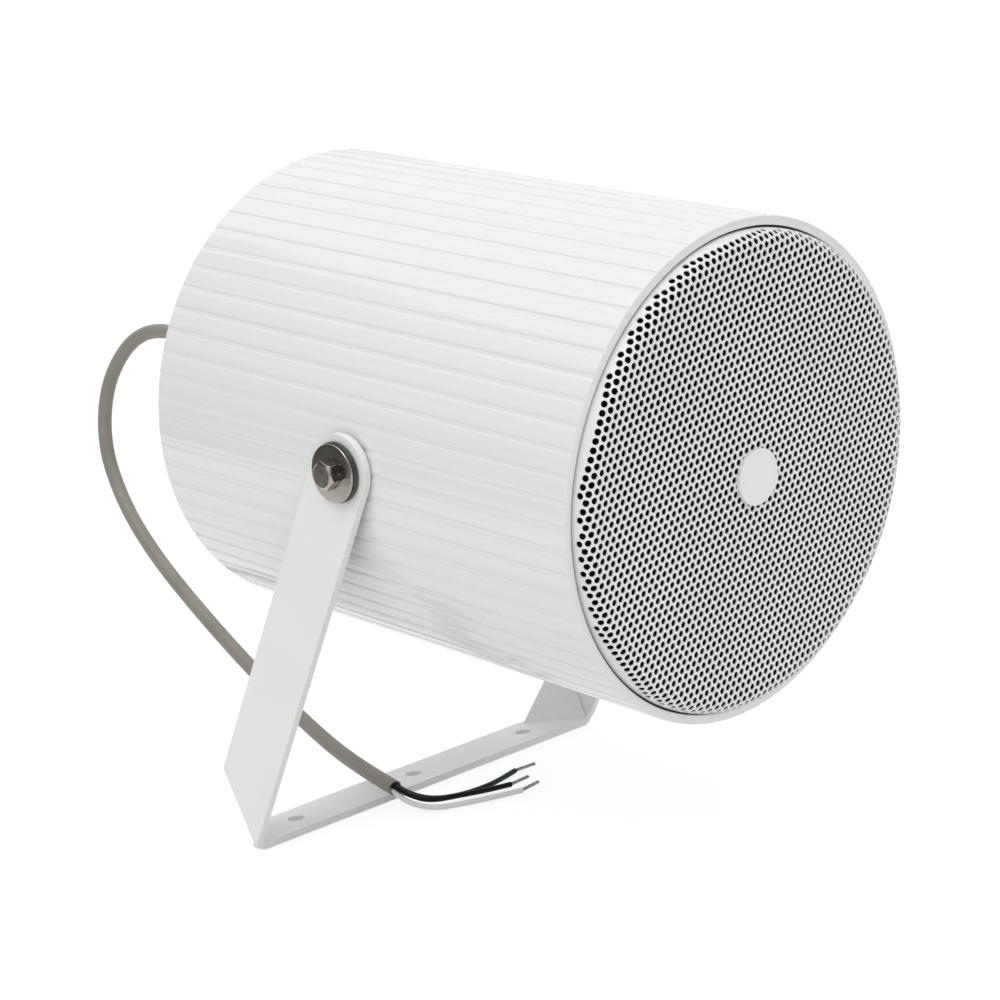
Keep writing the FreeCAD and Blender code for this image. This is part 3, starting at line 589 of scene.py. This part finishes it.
# Tube
def rib_spots(crest):
    """Angles round the tube, each with the outer radius there."""
    pitch = 2 * math.pi / RIB_COUNT
    groove = GROOVE_HALF / crest
    offsets = [groove * (2 * k / GROOVE_STEPS - 1) for k in range(GROOVE_STEPS + 1)]
    rest = pitch - 2 * groove
    offsets += [groove + rest * k / FACET_STEPS for k in range(1, FACET_STEPS)]
    spots = []
    for rib in range(RIB_COUNT):
        for offset in offsets:
            facet = crest * math.cos(pitch / 2) / math.cos(offset % pitch - pitch / 2)
            dip = math.cos(offset / groove * math.pi / 2) ** 2 if abs(offset) < groove else 0.0
            spots.append((pitch * rib + offset, facet - GROOVE_DEPTH * dip))
    return spots


def tube_paint():
    """Painted outside of the tube, turned in over its front lip and its rear edge."""
    low, high = speaker_span("housing_tube")
    rear = low.z - PAINT_END
    front = high.z + PAINT_END
    spots = rib_spots(high.x + PAINT_T)
    inside = high.x - PAINT_INSIDE
    lip = high.x - LIP_WALL - PAINT_END
    rings = []

    def ribbed(inset, z):
        rings.append([polar(angle, radius - inset, z) for angle, radius in spots])

    def plain(radius, z):
        rings.append([polar(angle, radius, z) for angle, _ in spots])

    turns = [math.pi / 2 * k / LIP_STEPS for k in range(LIP_STEPS + 1)]
    plain(inside, rear)
    for turn in reversed(turns):
        ribbed(LIP_ROUND * (1 - math.cos(turn)), rear + LIP_ROUND * (1 - math.sin(turn)))
    for turn in turns:
        ribbed(LIP_ROUND * (1 - math.cos(turn)), front - LIP_ROUND * (1 - math.sin(turn)))
    for turn in reversed(turns):
        plain(lip + LIP_ROUND * (1 - math.cos(turn)), front - LIP_ROUND * (1 - math.sin(turn)))
    plain(lip, front - LIP_RETURN)
    plain(inside, front - LIP_RETURN)
    on_speaker("tube_skin", *hoop(rings), "tube_paint")


# Driver
def spider():
    """Corrugated disc between the coil and the driver's frame."""
    low, high = speaker_span("spider")
    inner = speaker_span("voice_coil")[1].x + SPIDER_GAP
    width = high.x - SPIDER_LEDGE - inner
    wave = high.z - low.z - SPIDER_SHEET
    under = []
    for step in range(SPIDER_STEPS + 1):
        share = step / SPIDER_STEPS
        ripple = wave * math.sin(math.pi * SPIDER_WAVES * share) ** 2
        sag = SPIDER_SAG * max(1 - width * share / SPIDER_SAG_WIDTH, 0.0)
        under.append((inner + width * share, low.z + ripple - sag))
    under.append((high.x, low.z))
    over = [(radius, z + SPIDER_SHEET) for radius, z in reversed(under)]
    on_speaker("spider_cloth", *hoop(spun(under + over, SPIN_STEPS)), "cloth", "spider")


# Pivots
def pivot_reach(node):
    """How far from the middle a node begins and ends along the pivot."""
    low, high = speaker_span(node)
    return sorted((abs(low.x), abs(high.x)))


def hexagon_r(angle):
    """Radius of the bolt's hexagon at an angle round the pivot."""
    sixth = math.pi / 3
    return BOLT_AF / 2 / math.cos((angle + sixth / 2) % sixth - sixth / 2)


def pivot_bolt(side, name):
    """Hexagon bolt along the pivot, its head outwards."""
    node = "pivot_bolt_" + name
    near, top = pivot_reach(node)
    under = top - BOLT_HEAD
    angles = [2 * math.pi * k / BOLT_SIDES for k in range(BOLT_SIDES)]
    corners = [hexagon_r(angle) for angle in angles]
    shoulders = [top - (corner - BOLT_FACE_R) * math.tan(BOLT_CHAMFER) for corner in corners]

    def ring(radii, places):
        points = []
        for angle, radius, x in zip(angles, radii, places):
            turned = angle + BOLT_TURN
            points.append(Vector((side * x, radius * math.sin(turned), radius * math.cos(turned))))
        return points if side < 0 else points[::-1]

    def circle(radius, x):
        return ring([radius] * BOLT_SIDES, [x] * BOLT_SIDES)

    rings = [
        circle(BOLT_SHANK_R - BOLT_POINT, near),
        circle(BOLT_SHANK_R, near + BOLT_POINT),
        circle(BOLT_SHANK_R, under - BOLT_SEAT),
        circle(BOLT_SEAT_R, under - BOLT_SEAT),
        circle(BOLT_SEAT_R, under),
        ring(corners, [under] * BOLT_SIDES),
        ring(corners, shoulders),
        circle(BOLT_FACE_R, top),
    ]
    piece = on_speaker("bolt_" + name, *skin(rings), "stainless", node)
    bevel = piece.modifiers.new("edges", "BEVEL")
    bevel.width = BOLT_EDGE
    bevel.segments = BOLT_EDGE_STEPS
    bevel.angle_limit = BOLT_EDGE_LIMIT


def spun_on_pivot(side, profile):
    """Rings of a profile of radius and distance, spun about the pivot on one side."""
    angles = [-side * 2 * math.pi * k / SPIN_STEPS for k in range(SPIN_STEPS)]
    return [[Vector((side * x, r * math.sin(a), r * math.cos(a))) for a in angles] for r, x in profile]


def steel_washer(side, name):
    """Washer with a rounded rim, domed up to the bolt head."""
    node = "flat_washer_" + name
    near, top = pivot_reach(node)
    rim_r = speaker_span(node)[1].y - WASHER_ROUND
    rim_x = top - WASHER_DOME - WASHER_ROUND
    profile = [(rim_r, near)]
    for step in range(WASHER_STEPS + 1):
        turn = math.pi / 2 * step / WASHER_STEPS
        profile.append((rim_r + WASHER_ROUND * math.cos(turn), rim_x + WASHER_ROUND * math.sin(turn)))
    profile.append((BOLT_SEAT_R, top))
    on_speaker("washer_" + name, *skin(spun_on_pivot(side, profile)), "stainless", node)


def rubber_washer(side, name):
    """Rubber ring under the steel washer, with two beads round its edge."""
    node = "rubber_washer_" + name
    near, top = pivot_reach(node)
    radius = speaker_span(node)[1].y
    profile = []
    for step in range(BEAD_STEPS + 1):
        share = step / BEAD_STEPS
        dip = BEAD_DEPTH * (1 - abs(math.sin(2 * math.pi * share)))
        profile.append((radius - dip, near + (top - near) * share))
    on_speaker("seal_" + name, *skin(spun_on_pivot(side, profile)), "black_rubber", node)


# Cable
def route_points(route):
    """Points along the smooth line that a route's corners control."""
    curve = bpy.data.curves.new("route", "CURVE")
    curve.dimensions = "3D"
    curve.resolution_u = ROUTE_STEPS
    spline = curve.splines.new("NURBS")
    spline.points.add(len(route) - 1)
    for point, corner in zip(spline.points, route):
        point.co = (*corner, 1)
    spline.order_u = 3
    spline.use_endpoint_u = True
    line = bpy.data.objects.new("route", curve)
    mesh = bpy.data.meshes.new_from_object(line)
    points = [vertex.co.copy() for vertex in mesh.vertices]
    bpy.data.objects.remove(line)
    bpy.data.meshes.remove(mesh)
    return points


def path_frames(points):
    """Point, tangent and two cross directions along a path, carried on without twist."""
    frames = []
    across = Vector((1, 0, 0))
    for k, point in enumerate(points):
        tangent = (points[min(k + 1, len(points) - 1)] - points[max(k - 1, 0)]).normalized()
        across = (across - tangent * across.dot(tangent)).normalized()
        frames.append((point, tangent, across, tangent.cross(across)))
    return frames


def ring_points(place, across, other, radius, sides):
    angles = [2 * math.pi * k / sides for k in range(sides)]
    return [place + (across * math.cos(a) + other * math.sin(a)) * radius for a in angles]


def tube_rings(points, radius, sides):
    return [ring_points(point, across, other, radius, sides)
            for point, _, across, other in path_frames(points)]


def cable_jacket():
    """Round jacket with a hollow end; returns the way that its end points."""
    points = route_points(CABLE_ROUTE)
    rings = tube_rings(points, CABLE_D / 2, CABLE_SIDES)
    place, tangent, across, other = path_frames(points)[-1]
    bore = CABLE_D / 2 - JACKET_WALL
    for depth in (0.0, JACKET_RECESS):
        rings.append(ring_points(place - tangent * depth, across, other, bore, CABLE_SIDES))
    piece = new_piece("cable", *skin(rings), "cable_grey")
    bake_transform(piece)
    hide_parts("cable_jacket")
    return tangent


def bare_strands(name, tip, direction):
    """Twisted tinned strands beyond a core's insulation."""
    side = direction.orthogonal().normalized()
    other = direction.cross(side)
    vertices, faces = [], []
    for strand in range(STRAND_COUNT + 1):
        reach = STRAND_RING_R if strand < STRAND_COUNT else 0.0
        points = []
        for step in range(STRAND_STEPS + 1):
            share = step / STRAND_STEPS
            angle = 2 * math.pi * (strand / STRAND_COUNT + STRAND_TURNS * share)
            swing = side * math.cos(angle) + other * math.sin(angle)
            points.append(tip + direction * (share * BARE_LENGTH) + swing * reach)
        more_vertices, more_faces = skin(tube_rings(points, STRAND_R, STRAND_SIDES))
        faces += [[k + len(vertices) for k in face] for face in more_faces]
        vertices += more_vertices
    piece = new_piece("strands_" + name, vertices, faces, "tinned")
    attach(piece, "bracket")
    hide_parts("bare_wire_ends")
    return piece


def cable_core(name, route, jacket_tangent):
    """Insulated core from inside the jacket's end, with its bare strands."""
    inside = Vector(route[0]) - jacket_tangent * JACKET_RECESS
    points = route_points([inside, *route])
    piece = new_piece("core_" + name, *skin(tube_rings(points, CORE_D / 2, CORE_SIDES)), "core_" + name)
    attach(piece, "bracket")
    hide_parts("conductor_" + name)
    strands = bare_strands(name, points[-1], BARE_AIM[name].normalized())


def cable():
    tangent = cable_jacket()
    for name, route in CORE_ROUTES.items():
        cable_core(name, route, tangent)


# Stage, light and camera
def any_of(tree, names):
    """1 where a light path is of any of these kinds."""
    path = tree.nodes.new("ShaderNodeLightPath")
    total = path.outputs[names[0]]
    for name in names[1:]:
        node = tree.nodes.new("ShaderNodeMath")
        node.operation = "MAXIMUM"
        tree.links.new(total, node.inputs[0])
        tree.links.new(path.outputs[name], node.inputs[1])
        total = node.outputs[0]
    return total


def floor_finish():
    """Pale floor that shows white with a soft shadow, and lights the object as a plain floor."""
    finish = bpy.data.materials.new("floor")
    finish.use_nodes = True
    tree = finish.node_tree
    tree.nodes.clear()
    out = tree.nodes.new("ShaderNodeOutputMaterial")
    plain = tree.nodes.new("ShaderNodeBsdfDiffuse")
    plain.inputs["Color"].default_value = (*FLOOR_COLOUR, 1)
    shaded = tree.nodes.new("ShaderNodeBsdfDiffuse")
    shaded.inputs["Color"].default_value = (FLOOR_SHOWN, FLOOR_SHOWN, FLOOR_SHOWN, 1)
    glow = tree.nodes.new("ShaderNodeEmission")
    glow.inputs["Strength"].default_value = FLOOR_GLOW
    seen = tree.nodes.new("ShaderNodeAddShader")
    tree.links.new(shaded.outputs[0], seen.inputs[0])
    tree.links.new(glow.outputs[0], seen.inputs[1])
    pick = tree.nodes.new("ShaderNodeMixShader")
    tree.links.new(any_of(tree, SEEN_RAYS), pick.inputs["Fac"])
    tree.links.new(plain.outputs[0], pick.inputs[1])
    tree.links.new(seen.outputs[0], pick.inputs[2])
    tree.links.new(pick.outputs[0], out.inputs["Surface"])
    return finish


def stage_square(name, size, finish):
    """Flat square round its own origin."""
    half = size / 2
    corners = [(-half, -half, 0), (half, -half, 0), (half, half, 0), (-half, half, 0)]
    mesh = bpy.data.meshes.new(name)
    mesh.from_pydata(corners, [], [(0, 1, 2, 3)])
    mesh.materials.append(finish)
    square = bpy.data.objects.new(name, mesh)
    bpy.context.scene.collection.objects.link(square)
    return square


def face_pivot(item, place, forward):
    """Puts an item of the stage at a place, with its forward axis towards the pivot."""
    item.location = place
    item.rotation_mode = "QUATERNION"
    item.rotation_quaternion = (PIVOT - Vector(place)).to_track_quat(forward, "Y")


def make_floor():
    floor = stage_square("floor", FLOOR_SIZE, floor_finish())
    floor.location.z = FLOOR_Z


def make_world():
    """White where it is seen, softer where it lights."""
    world = bpy.data.worlds.new("studio")
    bpy.context.scene.world = world
    world.use_nodes = True
    tree = world.node_tree
    background = tree.nodes["Background"]
    background.inputs["Color"].default_value = (1, 1, 1, 1)
    strength = tree.nodes.new("ShaderNodeMapRange")
    strength.inputs["To Min"].default_value = WORLD_LIGHT
    strength.inputs["To Max"].default_value = 1.0
    tree.links.new(any_of(tree, SEEN_RAYS), strength.inputs["Value"])
    tree.links.new(strength.outputs["Result"], background.inputs["Strength"])


def soft_box(name, place, size, power):
    light = bpy.data.lights.new(name, "AREA")
    light.shape = "SQUARE"
    light.size = size
    light.energy = power
    lamp = bpy.data.objects.new(name, light)
    face_pivot(lamp, place, "-Z")
    bpy.context.scene.collection.objects.link(lamp)


def make_lights():
    for name, box in LIGHTS.items():
        soft_box(name, **box)


def dark_card(name, place, size, shade):
    """Board that neither shows to the camera nor shades the object."""
    finish, _, shader = new_finish(name)
    shader.inputs["Base Color"].default_value = (shade, shade, shade, 1)
    shader.inputs["Roughness"].default_value = 1.0
    card = stage_square(name, size, finish)
    face_pivot(card, place, "Z")
    card.visible_camera = False
    card.visible_diffuse = False
    card.visible_shadow = False


def make_cards():
    for name, card in CARDS.items():
        dark_card(name, **card)


def make_camera():
    data = bpy.data.cameras.new("camera")
    data.lens = CAMERA_LENS
    data.sensor_width = CAMERA_SENSOR
    data.clip_start = CAMERA_CLIP
    camera = bpy.data.objects.new("camera", data)
    up = CAMERA_RIGHT.cross(CAMERA_FORWARD)
    camera.matrix_world = Matrix((CAMERA_RIGHT, up, -CAMERA_FORWARD)).transposed().to_4x4()
    camera.location = PIVOT + CAMERA_FROM_PIVOT
    bpy.context.scene.collection.objects.link(camera)
    bpy.context.scene.camera = camera


dress_nodes()
tube_paint()
full_grille()
painted_shade_ring()
badge()
spider()
for side, name in ((-1, "left"), (1, "right")):
    pivot_bolt(side, name)
    steel_washer(side, name)
    rubber_washer(side, name)
cable()
make_floor()
make_world()
make_lights()
make_cards()
make_camera()
bpy.context.scene.view_settings.view_transform = "Standard"
